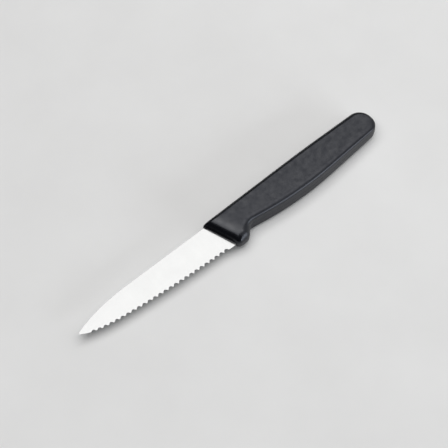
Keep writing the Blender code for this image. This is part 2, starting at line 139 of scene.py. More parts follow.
# %% [markdown]
# ## Lines and curves
#
# A few helpers draw all the outlines. A smooth stretch is a Bezier curve between two points
# with known headings. A straight side is two points, and where two sides cross there is a
# corner. The same helpers serve the blade and the handle, so that the hole for the tang can
# follow the tang exactly.

# %% Draw curves, and move and cross straight lines


def heading(degrees):
    """The direction that lies so many degrees to the left of X."""
    angle = math.radians(degrees)
    return Vector((math.cos(angle), math.sin(angle)))


def curve_run(start, start_heading, end, end_heading, steps):
    """Points of one smooth curve, leaving start and arriving at end on the given headings."""
    reach = (end - start).length / 3
    handle_a = start + heading(start_heading) * reach
    handle_b = end - heading(end_heading) * reach
    run = interpolate_bezier(start, handle_a, handle_b, end, steps)
    return [Vector((p.x, p.y)) for p in run]


def crossing(line_a, line_b):
    """Where two endless lines meet, each given by two of its points."""
    start, along = line_a[0], line_a[1] - line_a[0]
    other, across = line_b[0], line_b[1] - line_b[0]
    share = (other - start).cross(across) / along.cross(across)
    return start + along * share


def shifted(line, distance):
    """The same line moved to its left by the distance."""
    along = (line[1] - line[0]).normalized()
    left = Vector((-along.y, along.x)) * distance
    return [line[0] + left, line[1] + left]


# %% [markdown]
# A corner is an arc that touches both of its sides. Where a side is too short for the radius,
# the arc shrinks until it fits. Moving the sides inwards and rounding the corners afterwards
# gives the same outline a little smaller, which is how the handle's edges are rounded later.

# %% Round the corners of an outline
LONGEST_SETBACK = 0.8           # the share of a side that one rounded corner may use up
SMALLEST_RADIUS = 0.0005


def corner_arc(before, corner, after, radius, steps):
    """Points that round off one corner of an outline, as far as its two sides allow."""
    towards_before = (before - corner).normalized()
    towards_after = (after - corner).normalized()
    half_angle = towards_before.angle(towards_after) / 2
    longest = LONGEST_SETBACK * min((before - corner).length, (after - corner).length)
    radius = min(radius, longest * math.tan(half_angle))
    setback = radius / math.tan(half_angle)
    middle = (towards_before + towards_after).normalized()
    centre = corner + middle * (radius / math.sin(half_angle))
    first = corner + towards_before * setback - centre
    last = corner + towards_after * setback - centre
    turn = first.angle_signed(last)
    points = []
    for i in range(steps):
        swing = -turn * i / (steps - 1)
        points.append(centre + Matrix.Rotation(swing, 2) @ first)
    return points


def rounded_outline(corners, offsets):
    """An outline of straight sides and round corners, run with its inside on the left.

    Each corner gives its place, its radius, which way it points and its number of points. That
    way is 1 for outwards and -1 for inwards, and with 0 the radius stays the same at all
    offsets. offsets says how far each side, from its corner to the next, moves inwards.
    """
    count = len(corners)
    sides = []
    for i in range(count):
        side = [corners[i][0], corners[(i + 1) % count][0]]
        sides.append(shifted(side, offsets[i]))
    places = [crossing(sides[i - 1], sides[i]) for i in range(count)]
    points = []
    for i in range(count):
        radius, outwards, steps = corners[i][1:]
        mean_offset = (offsets[i - 1] + offsets[i]) / 2
        radius = max(radius - outwards * mean_offset, SMALLEST_RADIUS)
        points += corner_arc(places[i - 1], places[i], places[(i + 1) % count], radius, steps)
    return points


# %% [markdown]
# ## From outlines to solids
#
# A flat outline becomes a plate as a 2D curve object with an extrusion, which is then turned
# into a mesh. Unlike outlines at several heights become a solid as a loft: one ring of points
# for each height, with faces between neighbouring rings. Both can leave doubled points and
# faces that look inwards, so one helper puts that right for every mesh here.

# %% Make objects and meshes
SAME_PLACE = 1e-7               # points this close are doubles of one point

pieces = bpy.data.collections.new("pieces")
bpy.context.scene.collection.children.link(pieces)


def object_from(data, name):
    item = bpy.data.objects.new(name, data)
    pieces.objects.link(item)
    return item


def mesh_with_sound_faces(work, name):
    """A mesh from a bmesh, with doubled points joined and its faces turned outwards."""
    bmesh.ops.remove_doubles(work, verts=work.verts, dist=SAME_PLACE)
    bmesh.ops.recalc_face_normals(work, faces=work.faces)
    mesh = bpy.data.meshes.new(name)
    work.to_mesh(mesh)
    work.free()
    return mesh


def evaluated_mesh(item):
    """A new mesh of the object as it stands, with its curve drawn and its modifiers applied."""
    bpy.context.view_layer.update()
    shape = item.evaluated_get(bpy.context.evaluated_depsgraph_get())
    return bpy.data.meshes.new_from_object(shape)


def settle(item):
    """Apply the object's modifiers for good."""
    mesh = evaluated_mesh(item)
    item.modifiers.clear()
    item.data = mesh


# %% [markdown]
# Solids cut each other with Boolean modifiers. The exact solver is slower than the fast one,
# but it copes with the many faces that nearly touch here. Each cut is settled into a plain
# mesh at once, so that the next one starts from what is really there.

# %% Make plates and lofts, and cut one solid by another


def flat_plate(outlines, half_thickness, name):
    """A plate with the given outline and holes, centred on the mid-plane."""
    drawing = bpy.data.curves.new(name, "CURVE")
    drawing.dimensions = "2D"
    drawing.fill_mode = "BOTH"
    drawing.extrude = half_thickness
    for outline in outlines:
        spline = drawing.splines.new("POLY")
        spline.points.add(len(outline) - 1)
        for point, place in zip(spline.points, outline):
            point.co = (place.x, place.y, 0.0, 1.0)
        spline.use_cyclic_u = True
    flat = object_from(drawing, name + "_outline")
    work = bmesh.new()
    work.from_mesh(evaluated_mesh(flat))
    bmesh.ops.translate(work, verts=work.verts, vec=(0.0, 0.0, MIDDLE_Z))
    bpy.data.objects.remove(flat)
    return object_from(mesh_with_sound_faces(work, name), name)


def loft(rings, name):
    """A closed solid through rings of equally many points, with a flat cap on both ends."""
    work = bmesh.new()
    loops = [[work.verts.new(place) for place in ring] for ring in rings]
    count = len(rings[0])
    for low, high in zip(loops, loops[1:]):
        for i in range(count):
            j = (i + 1) % count
            work.faces.new((low[i], low[j], high[j], high[i]))
    work.faces.new(reversed(loops[0]))
    work.faces.new(loops[-1])
    return object_from(mesh_with_sound_faces(work, name), name)


def cut(item, other, operation):
    """Apply one exact Boolean of another solid to this one, and drop the other."""
    step = item.modifiers.new(operation.title(), "BOOLEAN")
    step.operation = operation
    step.solver = "EXACT"
    step.object = other
    settle(item)
    bpy.data.objects.remove(other)


# %% [markdown]
# ## The blade's outline
#
# The real blade is punched from a strip of stainless steel together with its tang. The spine
# is straight at first and then drops in one smooth curve to a point that sits below the
# middle, and the edge rises slowly, then faster, to meet it. Two Bezier stretches for the edge
# and two for the spine give that with eight numbers. The tang behind it has three holes that
# the plastic flows through. It stays hidden, but it is made all the same, so that the two
# pieces could be pulled apart.

# %% Draw the edge and the spine
HEEL_DEPTH = 0.0180             # spine line to the cutting edge at the handle
TIP_DEPTH = 0.0060
SPINE_BEND = 0.0365             # from the tip back to where the spine starts to drop
SPINE_END_DEPTH = 0.0047
SPINE_END_ANGLE = 18.5
POINT_SETBACK = 0.0014          # from the tip back to where the spine turns down to it
EDGE_BEND = 0.0233              # from the tip back to where the edge starts to rise
EDGE_BEND_DEPTH = 0.0127
EDGE_HEEL_ANGLE = 2.4
EDGE_BEND_ANGLE = 7.5
EDGE_TIP_ANGLE = 33.0
FRONT_RAKE = 19.3               # the handle's front leans back from spine to edge
CLEARANCE = 0.0003              # from the spine's shoulder to the plastic
OUTLINE_STEPS = 48
POINT_STEPS = 10

RAKE = math.tan(math.radians(FRONT_RAKE))
HEEL_X = HEEL_DEPTH * RAKE


def edge_line():
    """The line of the tooth points, from the point of the blade to the handle's front."""
    tip = Vector((-BLADE_LENGTH, -TIP_DEPTH))
    bend = Vector((-BLADE_LENGTH + EDGE_BEND, -EDGE_BEND_DEPTH))
    heel = Vector((HEEL_X, -HEEL_DEPTH))
    outer = curve_run(tip, -EDGE_TIP_ANGLE, bend, -EDGE_BEND_ANGLE, OUTLINE_STEPS)
    inner = curve_run(bend, -EDGE_BEND_ANGLE, heel, -EDGE_HEEL_ANGLE, OUTLINE_STEPS)
    return outer + inner[1:]


def spine_line():
    """The blade's back, from the handle's front to just above the point."""
    front = Vector((-CLEARANCE, 0.0))
    bend = Vector((-BLADE_LENGTH + SPINE_BEND, 0.0))
    end = Vector((-BLADE_LENGTH + POINT_SETBACK, -SPINE_END_DEPTH))
    tip = Vector((-BLADE_LENGTH, -TIP_DEPTH))
    drop = curve_run(bend, 180.0, end, 180.0 + SPINE_END_ANGLE, OUTLINE_STEPS)
    point = curve_run(end, 180.0 + SPINE_END_ANGLE, tip, 270.0, POINT_STEPS)
    return [front] + drop + point[1:-1]


print("edge:", len(edge_line()), "points, spine:", len(spine_line()), "points")

# %% [markdown]
# The tang narrows to its round end. Its corners are kept in one function, because the hollow
# in the handle is drawn from the same five points.

# %% Draw the tang and its holes
SHOULDER_DEPTH = 0.0015         # spine line to the top of the tang at the handle's front
TANG_LENGTH = 0.0720
TANG_ROOT_DEPTH = 0.0114
TANG_END_TOP = 0.0036
TANG_END_BOTTOM = 0.0096
TANG_END_RADIUS = 0.0025
HEEL_INSERT = 0.0034            # how far the heel runs into the handle
HEEL_RADIUS = 0.0010
ROOT_RADIUS = 0.0015
HOLE_RADIUS = 0.0020
HOLE_PLACES = (0.022, 0.042, 0.062)     # from the handle's front
HOLE_STEPS = 40
TANG_STEPS = 10

HEEL_END_X = HEEL_X + HEEL_INSERT


def tang_corners():
    """The corners of the tang, from the top of its front round to the heel."""
    foot = Vector((SHOULDER_DEPTH * RAKE - CLEARANCE, -SHOULDER_DEPTH))
    end_top = Vector((TANG_LENGTH, -TANG_END_TOP))
    end_bottom = Vector((TANG_LENGTH, -TANG_END_BOTTOM))
    root = Vector((HEEL_END_X, -TANG_ROOT_DEPTH))
    slope = math.tan(math.radians(EDGE_HEEL_ANGLE))
    heel = Vector((HEEL_END_X, -HEEL_DEPTH - HEEL_INSERT * slope))
    return foot, end_top, end_bottom, root, heel


def tang_holes(radius):
    """The outlines of the three holes, each halfway between the tang's two sides."""
    foot, end_top, end_bottom, root, heel = tang_corners()
    holes = []
    for x in HOLE_PLACES:
        top = foot.y + (end_top.y - foot.y) * (x - foot.x) / (end_top.x - foot.x)
        bottom = root.y + (end_bottom.y - root.y) * (x - root.x) / (end_bottom.x - root.x)
        centre = Vector((x, (top + bottom) / 2))
        turns = [360 * j / HOLE_STEPS for j in range(HOLE_STEPS)]
        holes.append([centre + heading(turn) * radius for turn in turns])
    return holes


def blade_outline():
    """The whole stamped outline: edge, heel, tang and spine."""
    foot, end_top, end_bottom, root, heel = tang_corners()
    edge = edge_line()
    outline = edge[:]
    outline += corner_arc(edge[-1], heel, root, HEEL_RADIUS, TANG_STEPS)
    outline += corner_arc(heel, root, end_bottom, ROOT_RADIUS, TANG_STEPS)
    outline += corner_arc(root, end_bottom, end_top, TANG_END_RADIUS, TANG_STEPS)
    outline += corner_arc(end_bottom, end_top, foot, TANG_END_RADIUS, TANG_STEPS)
    outline.append(foot)
    return outline + spine_line()


print("blade outline:", len(blade_outline()), "points")

# %% [markdown]
# ## Grinding the blade thin
#
# After stamping, both faces are ground so that the steel is 1.2 mm at the spine and a tenth
# of that at the edge. The two ground faces are the sides of one long wedge, so a plate that is
# too thick everywhere is simply intersected with that wedge. Inside the handle the wedge runs
# out into the full thickness of the tang.

# %% Describe the wedge
SPINE_THICKNESS = 0.0012
PLATE_HALF_THICKNESS = SPINE_THICKNESS  # the plate starts out twice too thick
TIP_THICKNESS = 0.0008          # of the wedge at the spine line, above the tip
EDGE_THICKNESS = 0.00012
TIP_GRIND_DEPTH = 0.0124        # at the tip, where the wedge is as thin as the edge
GRIND_RUNOUT = 0.0030           # from the last ground section to the tang's full thickness
GRIND_MARGIN = 0.0004           # how far the wedge reaches past the tip and the edge
CUTTER_MARGIN = 0.0040          # how far a cutter stands out of what it cuts
WEDGE_RINGS = 6


def half_thickness(x, depth):
    """Half the blade's thickness at a depth below the spine line, in front of the handle."""
    share = (x + BLADE_LENGTH) / (BLADE_LENGTH + HEEL_X)
    at_spine = TIP_THICKNESS + (SPINE_THICKNESS - TIP_THICKNESS) * share
    full_depth = TIP_GRIND_DEPTH + (HEEL_DEPTH - TIP_GRIND_DEPTH) * share
    thickness = at_spine + (EDGE_THICKNESS - at_spine) * depth / full_depth
    return thickness / 2


def wedge(grow, name):
    """The solid between the two ground faces, grown on all sides by a clearance."""
    top = CUTTER_MARGIN
    bottom = -HEEL_DEPTH - GRIND_MARGIN
    first = -BLADE_LENGTH - GRIND_MARGIN
    last = HEEL_END_X - GRIND_RUNOUT
    sections = []
    for i in range(WEDGE_RINGS):
        x = first + (last - first) * i / (WEDGE_RINGS - 1)
        sections.append((x, half_thickness(x, -top) + grow, half_thickness(x, -bottom) + grow))
    full = SPINE_THICKNESS / 2 + grow
    sections.append((HEEL_END_X, full, full))
    sections.append((TANG_LENGTH + CUTTER_MARGIN, full, full))
    rings = []
    for x, upper, lower in sections:
        rings.append([
            Vector((x, top, MIDDLE_Z - upper)),
            Vector((x, top, MIDDLE_Z + upper)),
            Vector((x, bottom, MIDDLE_Z + lower)),
            Vector((x, bottom, MIDDLE_Z - lower)),
        ])
    return loft(rings, name)


print("edge at the handle:", mm(2 * half_thickness(HEEL_X, HEEL_DEPTH)), "mm thick")

# %% [markdown]
# ## The scallops
#
# A dressed grinding wheel cuts 26 shallow flutes into the lower face, one beside the other.
# Each flute slopes at 15 degrees, breaks through the upper face near the edge, and leaves a
# round notch there with a sharp tooth on both sides. Making the flutes, and not just notches
# in the outline, gives the fan of hollow facets that shows when the knife is turned over.

# %% Place the notches along the edge
NOTCH_PITCH = 0.0032
NOTCH_DEPTH_TIP = 0.00088
NOTCH_DEPTH_HEEL = 0.00138
FIRST_NOTCH = 0.0072            # from the point to the first notch's middle, along the edge
LAST_NOTCH = 0.0061             # from the last notch's middle to the handle


def notch_places():
    """Each notch's middle on the line of the tooth points, that line's direction, its depth."""
    line = edge_line()
    lengths = [0.0]
    for a, b in zip(line, line[1:]):
        lengths.append(lengths[-1] + (b - a).length)
    last = round((lengths[-1] - LAST_NOTCH - FIRST_NOTCH) / NOTCH_PITCH)
    places = []
    for i in range(last + 1):
        wanted = FIRST_NOTCH + i * NOTCH_PITCH
        k = max(n for n in range(len(line) - 1) if lengths[n] <= wanted)
        along = (line[k + 1] - line[k]).normalized()
        depth = NOTCH_DEPTH_TIP + (NOTCH_DEPTH_HEEL - NOTCH_DEPTH_TIP) * i / last
        places.append((line[k] + along * (wanted - lengths[k]), along, depth))
    return places


notches = notch_places()
print("scallops:", len(notches))

# %% [markdown]
# One flute is cut by a bar with an arc for its top, as the wheel's rim would cut it. The bars
# go in as two sets, the odd and the even ones, because neighbours overlap and one closed
# cutter mustn't cross itself.

# %% Make the flute cutters
WHEEL_RADIUS = 0.0030
WHEEL_HALF_WIDTH = 0.0023
FLUTE_TILT = 15.0
FLUTE_REACH = 0.0055            # how far the bar runs into the blade behind its notch
FLUTE_STEPS = 20


def add_flute(work, place, along, depth):
    """One arc-topped bar that slopes down under the blade from its notch."""
    tilt = math.radians(FLUTE_TILT)
    edgewise = Vector((along.x, along.y, 0.0))
    inward = Vector((-along.y, along.x, 0.0))
    up = Vector((0.0, 0.0, 1.0))
    crown = Vector((place.x, place.y, MIDDLE_Z)) + inward * depth
    crown.z += half_thickness(crown.x, -crown.y)
    run = -inward * math.cos(tilt) + up * math.sin(tilt)
    rise = up * math.cos(tilt) + inward * math.sin(tilt)
    profile = []
    for i in range(FLUTE_STEPS + 1):
        across = WHEEL_HALF_WIDTH * (1 - 2 * i / FLUTE_STEPS)
        drop = WHEEL_RADIUS - math.sqrt(WHEEL_RADIUS ** 2 - across ** 2)
        profile.append(edgewise * across - rise * drop)
    profile.append(-edgewise * WHEEL_HALF_WIDTH - rise * CUTTER_MARGIN)
    profile.append(edgewise * WHEEL_HALF_WIDTH - rise * CUTTER_MARGIN)
    inner = [work.verts.new(crown + p - run * FLUTE_REACH) for p in profile]
    outer = [work.verts.new(crown + p + run * CUTTER_MARGIN) for p in profile]
    for i in range(len(profile)):
        j = (i + 1) % len(profile)
        work.faces.new((inner[i], inner[j], outer[j], outer[i]))
    work.faces.new(reversed(inner))
    work.faces.new(outer)


def flute_set(places, name):
    work = bmesh.new()
    for place, along, depth in places:
        add_flute(work, place, along, depth)
    return object_from(mesh_with_sound_faces(work, name), name)


# %% [markdown]
# ## Making the blade
#
# The order is the factory's: stamp, grind, serrate. The stamped corner along the spine is then
# eased a little, as tumbling does, which gives the spine the fine bright line that a knife
# shows there. Only the spine's corners may be rounded, so they are picked by their place and
# given a bevel weight.

# %% Find the two long corners of the spine
SPINE_EASE = 0.00012
SPINE_BAND = 0.00004            # how close to the drawn spine a point must lie to count
STAMPED_CORNER = math.radians(60.0)     # only a corner sharper than this is eased


def near_spine(point, spine):
    """Whether a point lies on the drawn spine, seen from above."""
    flat = Vector((point.x, point.y))
    for a, b in zip(spine, spine[1:]):
        along = b - a
        share = min(max((flat - a).dot(along) / along.length_squared, 0.0), 1.0)
        if (flat - a - along * share).length < SPINE_BAND:
            return True
    return False


def mark_spine(mesh):
    """Give full bevel weight to the spine's long corners, and say how many edges they have."""
    spine = spine_line()[:-1]
    work = bmesh.new()
    work.from_mesh(mesh)
    weight = work.edges.layers.float.new("bevel_weight_edge")
    marked = 0
    for edge in work.edges:
        if len(edge.link_faces) != 2 or edge.calc_face_angle() < STAMPED_CORNER:
            continue
        if all(near_spine(vert.co, spine) for vert in edge.verts):
            runs_level = abs(edge.verts[0].co.z - edge.verts[1].co.z) < SPINE_EASE
            if runs_level:
                edge[weight] = 1.0
                marked += 1
    work.to_mesh(mesh)
    work.free()
    return marked


# %% [markdown]
# Now the tools are used in turn. Each cutter is a solid of its own that is dropped after its
# cut. Three segments are enough for a rounding of an eighth of a millimetre.

# %% Stamp, grind, serrate and ease the spine
EASE_SEGMENTS = 3

outlines = [blade_outline()] + tang_holes(HOLE_RADIUS)
steel_blade = flat_plate(outlines, PLATE_HALF_THICKNESS, "steel_blade")
cut(steel_blade, wedge(0.0, "grind"), "INTERSECT")
cut(steel_blade, flute_set(notches[0::2], "odd_flutes"), "DIFFERENCE")
cut(steel_blade, flute_set(notches[1::2], "even_flutes"), "DIFFERENCE")

marked = mark_spine(steel_blade.data)
ease = steel_blade.modifiers.new("Ease", "BEVEL")
ease.limit_method = "WEIGHT"
ease.width = SPINE_EASE
ease.segments = EASE_SEGMENTS
settle(steel_blade)
print("blade:", len(steel_blade.data.polygons), "faces, spine edges eased:", marked)

# %% [markdown]
# ## The handle's outline
#
# The handle is drawn as one outline of eight corners: the two ends of the sloping front, the
# finger guard's rear, the neck behind it, the deepest point of the belly, the two corners of
# the butt and the highest point of the back.

# %% Name the outline's sizes
BACK_RISE_FRONT = 0.00075       # the back above the spine line: front, highest point and butt
BACK_RISE_MIDDLE = 0.00163
BACK_RISE_BUTT = 0.00137
BACK_PEAK = 0.0702
BACK_RADIUS = 0.6000
GUARD_BELOW_EDGE = 0.0020       # how far the guard reaches below the blade's edge
GUARD_LENGTH = 0.0071
GUARD_RISE = 0.0003
GUARD_REAR_RUN = 0.0053
GUARD_FRONT_RADIUS = 0.0034
GUARD_REAR_RADIUS = 0.0042
NECK_DEPTH = 0.0141
NECK_RADIUS = 0.0018
BELLY_DEPTH = 0.01880
BELLY_PEAK = 0.0507
BELLY_RADIUS = 0.2000
BUTT_DEPTH = 0.0139
BUTT_LOWER_RADIUS = 0.0068
BUTT_UPPER_RADIUS = 0.0080
FRONT_CORNER_RADIUS = 0.0005
GUARD_DEPTH = HEEL_DEPTH + GUARD_BELOW_EDGE

FRONT_STEPS = 8
GUARD_STEPS = 18
BELLY_STEPS = 40
BUTT_STEPS = 30
BACK_STEPS = 12
print("handle:", mm(HANDLE_LENGTH), "mm long,", mm(BACK_RISE_MIDDLE + BELLY_DEPTH), "mm deep")

# %% [markdown]
# Each height through the thickness gets its own copy of the outline with the sides moved
# inwards, and that is what rounds the long edges. The amounts differ from side to side,
# because the shadow lines on the real handle do: a tight edge along the belly, a long soft one
# along the back, and a guard that ends in a ball. The hollow of the neck opens out towards the
# broad faces.

# %% Draw the handle at one height
BELLY_ROUND_IN = 0.0028
BELLY_ROUND_DOWN = 0.0022
BACK_ROUND_IN = 0.0030
BACK_ROUND_DOWN = 0.0046
BUTT_ROUND_IN = 0.0026
GUARD_ROUND_IN = 0.0048
GUARD_ROUND_DOWN = 0.0052
NECK_SPREAD = 0.0065            # how much wider the neck's hollow is on the broad faces
SIDE_DRAFT = 0.0001             # the lean of a mould's wall, which lets the piece out


def side_offset(height, inward, downward):
    """How far a side has moved inwards at a height above the mid-plane."""
    climb = (height - (HALF_THICKNESS - downward)) / downward
    climb = min(max(climb, 0.0), 1.0)
    rounding = inward * (1 - math.sqrt(1 - climb ** 2))
    return rounding + SIDE_DRAFT * (height / HALF_THICKNESS)


def handle_ring(height):
    """The handle's outline at a height above its mid-plane."""
    guard_offset = side_offset(height, GUARD_ROUND_IN, GUARD_ROUND_DOWN)
    belly_offset = side_offset(height, BELLY_ROUND_IN, BELLY_ROUND_DOWN)
    butt_offset = side_offset(height, BUTT_ROUND_IN, BACK_ROUND_DOWN)
    back_offset = side_offset(height, BACK_ROUND_IN, BACK_ROUND_DOWN)
    neck_radius = NECK_RADIUS + NECK_SPREAD * (height / HALF_THICKNESS)
    front_top = Vector((-BACK_RISE_FRONT * RAKE, BACK_RISE_FRONT))
    front_bottom = Vector((GUARD_DEPTH * RAKE, -GUARD_DEPTH))
    guard_rear = Vector((front_bottom.x + GUARD_LENGTH, -GUARD_DEPTH + GUARD_RISE))
    neck = Vector((guard_rear.x + GUARD_REAR_RUN, -NECK_DEPTH))
    corners = [
        (front_top, FRONT_CORNER_RADIUS, 0, FRONT_STEPS),
        (front_bottom, GUARD_FRONT_RADIUS, 1, GUARD_STEPS),
        (guard_rear, GUARD_REAR_RADIUS, 1, GUARD_STEPS),
        (neck, neck_radius, -1, GUARD_STEPS),
        (Vector((BELLY_PEAK, -BELLY_DEPTH)), BELLY_RADIUS, 1, BELLY_STEPS),
        (Vector((HANDLE_LENGTH, -BUTT_DEPTH)), BUTT_LOWER_RADIUS, 1, BUTT_STEPS),
        (Vector((HANDLE_LENGTH, BACK_RISE_BUTT)), BUTT_UPPER_RADIUS, 1, BUTT_STEPS),
        (Vector((BACK_PEAK, BACK_RISE_MIDDLE)), BACK_RADIUS, 1, BACK_STEPS),
    ]
    offsets = [0.0, guard_offset, guard_offset, belly_offset, belly_offset]
    offsets += [butt_offset, back_offset, back_offset]
    return rounded_outline(corners, offsets)


print("handle outline:", len(handle_ring(0.0)), "points")

# %% [markdown]
# ## The handle's form
#
# The stacked outlines are lofted to one solid. Their heights lie close together where the
# edges turn. A hairline seam runs round the mid-plane, where the two halves of the mould met:
# the outline there is grown by a few hundredths of a millimetre.

# %% Choose the heights, and loft the handle
SEAM_RISE = 0.00004
SEAM_HALF_WIDTH = 0.00007
ROUND_LEVELS = 24
SIDE_LEVELS = 4


def handle_levels():
    """Heights above the mid-plane: the seam, the side wall, then finer steps round the edge."""
    side_top = HALF_THICKNESS - BACK_ROUND_DOWN
    levels = [0.0, SEAM_HALF_WIDTH, 2 * SEAM_HALF_WIDTH]
    for i in range(1, SIDE_LEVELS + 1):
        levels.append(side_top * i / SIDE_LEVELS)
    for i in range(1, ROUND_LEVELS + 1):
        angle = math.radians(90 * i / ROUND_LEVELS)
        levels.append(side_top + BACK_ROUND_DOWN * math.sin(angle))
    return levels


def seam_swell(height):
    """How far the seam stands out at a height above the mid-plane."""
    return SEAM_RISE * max(0.0, 1 - height / (2 * SEAM_HALF_WIDTH))


def grown(outline, distance):
    """The outline with each point moved outwards, square to its neighbours."""
    count = len(outline)
    moved = []
    for i in range(count):
        along = (outline[(i + 1) % count] - outline[i - 1]).normalized()
        moved.append(outline[i] + Vector((along.y, -along.x)) * distance)
    return moved


levels = handle_levels()
rings = []
for height in [-h for h in reversed(levels[1:])] + levels:
    outline = grown(handle_ring(abs(height)), seam_swell(abs(height)))
    rings.append([Vector((p.x, p.y, MIDDLE_Z + height)) for p in outline])
moulded_handle = loft(rings, "moulded_handle")
print("handle:", len(rings), "rings of", len(rings[0]), "points")

# %% [markdown]
# The handle thins towards the butt in one smooth curve, and its first 6 mm fall away in a
# round nose, down to the low wall that the blade comes out of. Where that nose meets a round
# edge, the lower of the two wins, with a soft change from one to the other.

# %% Work out how thick the handle is at each place
BUTT_THICKNESS = 0.0090
FLAT_LENGTH = 0.0500            # stretch of full thickness, from the front
TAPER_POWER = 1.4
NOSE_LENGTH = 0.0060            # from the front to where the broad faces are level
NOSE_WALL = 0.0012              # half the height of the upright wall round the blade
BLEND = 2.5                     # how crisply the nose and the round edges meet


def front_distance(x, y):
    """How far a point lies behind the handle's front, measured square to it."""
    rearwards = heading(FRONT_RAKE)
    return Vector((x, y)).dot(rearwards)


def tapering(x):
    """The share of the full thickness that is left at a distance behind the corner."""
    share = max(x - FLAT_LENGTH, 0.0) / (HANDLE_LENGTH - FLAT_LENGTH)
    return 1 - (1 - BUTT_THICKNESS / (2 * HALF_THICKNESS)) * share ** TAPER_POWER


def nose_height(x, y):
    """Half the thickness that the round nose leaves at a place near the front."""
    to_go = min(max(1 - front_distance(x, y) / NOSE_LENGTH, 0.0), 1.0)
    return max(HALF_THICKNESS * math.sqrt(1 - to_go ** 2), NOSE_WALL)


def blended(height, limit):
    """The lower of two heights, with a soft change from one to the other."""
    if height == 0.0:
        return 0.0
    inverse = height ** -BLEND + limit ** -BLEND - HALF_THICKNESS ** -BLEND
    return inverse ** (-1 / BLEND)


for x in (0.0, FLAT_LENGTH, HANDLE_LENGTH):
    print("at", mm(x), "mm:", mm(2 * nose_height(x, 0.0) * tapering(x)), "mm thick")

# %% [markdown]
# The broad faces of the loft are two large polygons, which have no points to move. So the
# handle is first sliced crosswise into narrow strips, closer together where the nose turns
# steeply, and then every point is moved to its place.

# %% Slice the handle and shape it
STRIP_WIDTH = 0.0012
NOSE_STRIPS = 22


def slicing_planes():
    """A point and a direction for each cut: square to the front, then square to the handle."""
    planes = []
    for i in range(1, NOSE_STRIPS + 1):
        turn = math.radians(90 * i / NOSE_STRIPS)
        rearwards = heading(FRONT_RAKE)
        planes.append((rearwards * NOSE_LENGTH * (1 - math.cos(turn)), rearwards))
    x = FLAT_LENGTH
    while x < HANDLE_LENGTH:
        planes.append((Vector((x, 0.0)), heading(0.0)))
        x += STRIP_WIDTH
    return planes


def slice_and_shape(mesh, planes):
    """Cut the broad faces into strips, and move every point to its thinned height."""
    work = bmesh.new()
    work.from_mesh(mesh)
    for place, facing in planes:
        everything = work.verts[:] + work.edges[:] + work.faces[:]
        bmesh.ops.bisect_plane(
            work, geom=everything, plane_co=place.to_3d(), plane_no=facing.to_3d())
    for vert in work.verts:
        height = vert.co.z - MIDDLE_Z
        lower = blended(abs(height), nose_height(vert.co.x, vert.co.y)) * tapering(vert.co.x)
        vert.co.z = MIDDLE_Z + math.copysign(lower, height)
    work.to_mesh(mesh)
    work.free()


planes = slicing_planes()
slice_and_shape(moulded_handle.data, planes)
print("handle: cut by", len(planes), "planes")

# %% [markdown]
# ## Room for the tang
#
# Plastic shrinks onto the steel as it cools, so the real joint shows no gap. The hollow is the
# tang's own outline with a hair of room round it, cut to the same wedge, with a pillar left in
# the middle of each hole.

# %% Hollow the handle
SNUG = 0.00003


def tang_hollow():
    """What the handle loses: the tang with a little room round it, open at the front."""
    foot, end_top, end_bottom, root, heel = tang_corners()
    front_x = -CUTTER_MARGIN
    top_slope = (end_top.y - foot.y) / (end_top.x - foot.x)
    front_top = Vector((front_x, foot.y + top_slope * (front_x - foot.x)))
    front_bottom = Vector((front_x, heel.y))
    corners = [
        (front_bottom, SMALLEST_RADIUS, 0, TANG_STEPS),
        (heel, HEEL_RADIUS, 1, TANG_STEPS),
        (root, ROOT_RADIUS, -1, TANG_STEPS),
        (end_bottom, TANG_END_RADIUS, 1, TANG_STEPS),
        (end_top, TANG_END_RADIUS, 1, TANG_STEPS),
        (front_top, SMALLEST_RADIUS, 0, TANG_STEPS),
    ]
    outline = rounded_outline(corners, [-SNUG] * len(corners))
    pillars = tang_holes(HOLE_RADIUS - SNUG)
    hollow = flat_plate([outline] + pillars, PLATE_HALF_THICKNESS + 2 * SNUG, "tang_hollow")
    cut(hollow, wedge(SNUG, "hollow_grind"), "INTERSECT")
    return hollow


cut(moulded_handle, tang_hollow(), "DIFFERENCE")
print("handle:", len(moulded_handle.data.polygons), "faces")

# %% [markdown]
# ## Shading and place
#
# Booleans leave a few slivers where two cuts meet, so points within microns of each other are
# joined first. Round surfaces are then shaded smooth, and corners above 30 degrees stay crisp.
# Weighted normals let the large flat faces win over the narrow ones of the rounding beside
# them, so the flats stay flat to the eye. The meshes were drawn from the reference corner, so
# their points are moved to the frame once, here, and the objects stay at the origin.

# %% Clear the slivers, shade the pieces and move them into the frame
TOUCHING = 0.000003             # points closer than this become one
SHARP_ANGLE = math.radians(30.0)


def clear_slivers(mesh):
    """Join touching points, and say how many edges don't have exactly two faces then."""
    work = bmesh.new()
    work.from_mesh(mesh)
    bmesh.ops.remove_doubles(work, verts=work.verts, dist=TOUCHING)
    bmesh.ops.dissolve_degenerate(work, edges=work.edges, dist=TOUCHING)
    open_edges = sum(len(edge.link_faces) != 2 for edge in work.edges)
    work.to_mesh(mesh)
    work.free()
    return open_edges


def shade(item):
    open_edges = clear_slivers(item.data)
    print(item.name, len(item.data.polygons), "faces,", open_edges, "open edges")
    item.data.transform(Matrix.Translation(CORNER))
    item.data.shade_smooth()
    item.data.set_sharp_from_angle(angle=SHARP_ANGLE)
    weighted = item.modifiers.new("Weighted", "WEIGHTED_NORMAL")
    weighted.keep_sharp = True


shade(steel_blade)
shade(moulded_handle)

# %% [markdown]
# ## Working with shader nodes
#
# A finish is a small network of nodes. Made by hand it takes many clicks, and made by a script
# many lines, so a few helpers come first. Each of them adds one node and feeds it: an input
# that is given a socket is linked to it, and one that is given a number or a colour keeps it.

# %% Add nodes and feed them


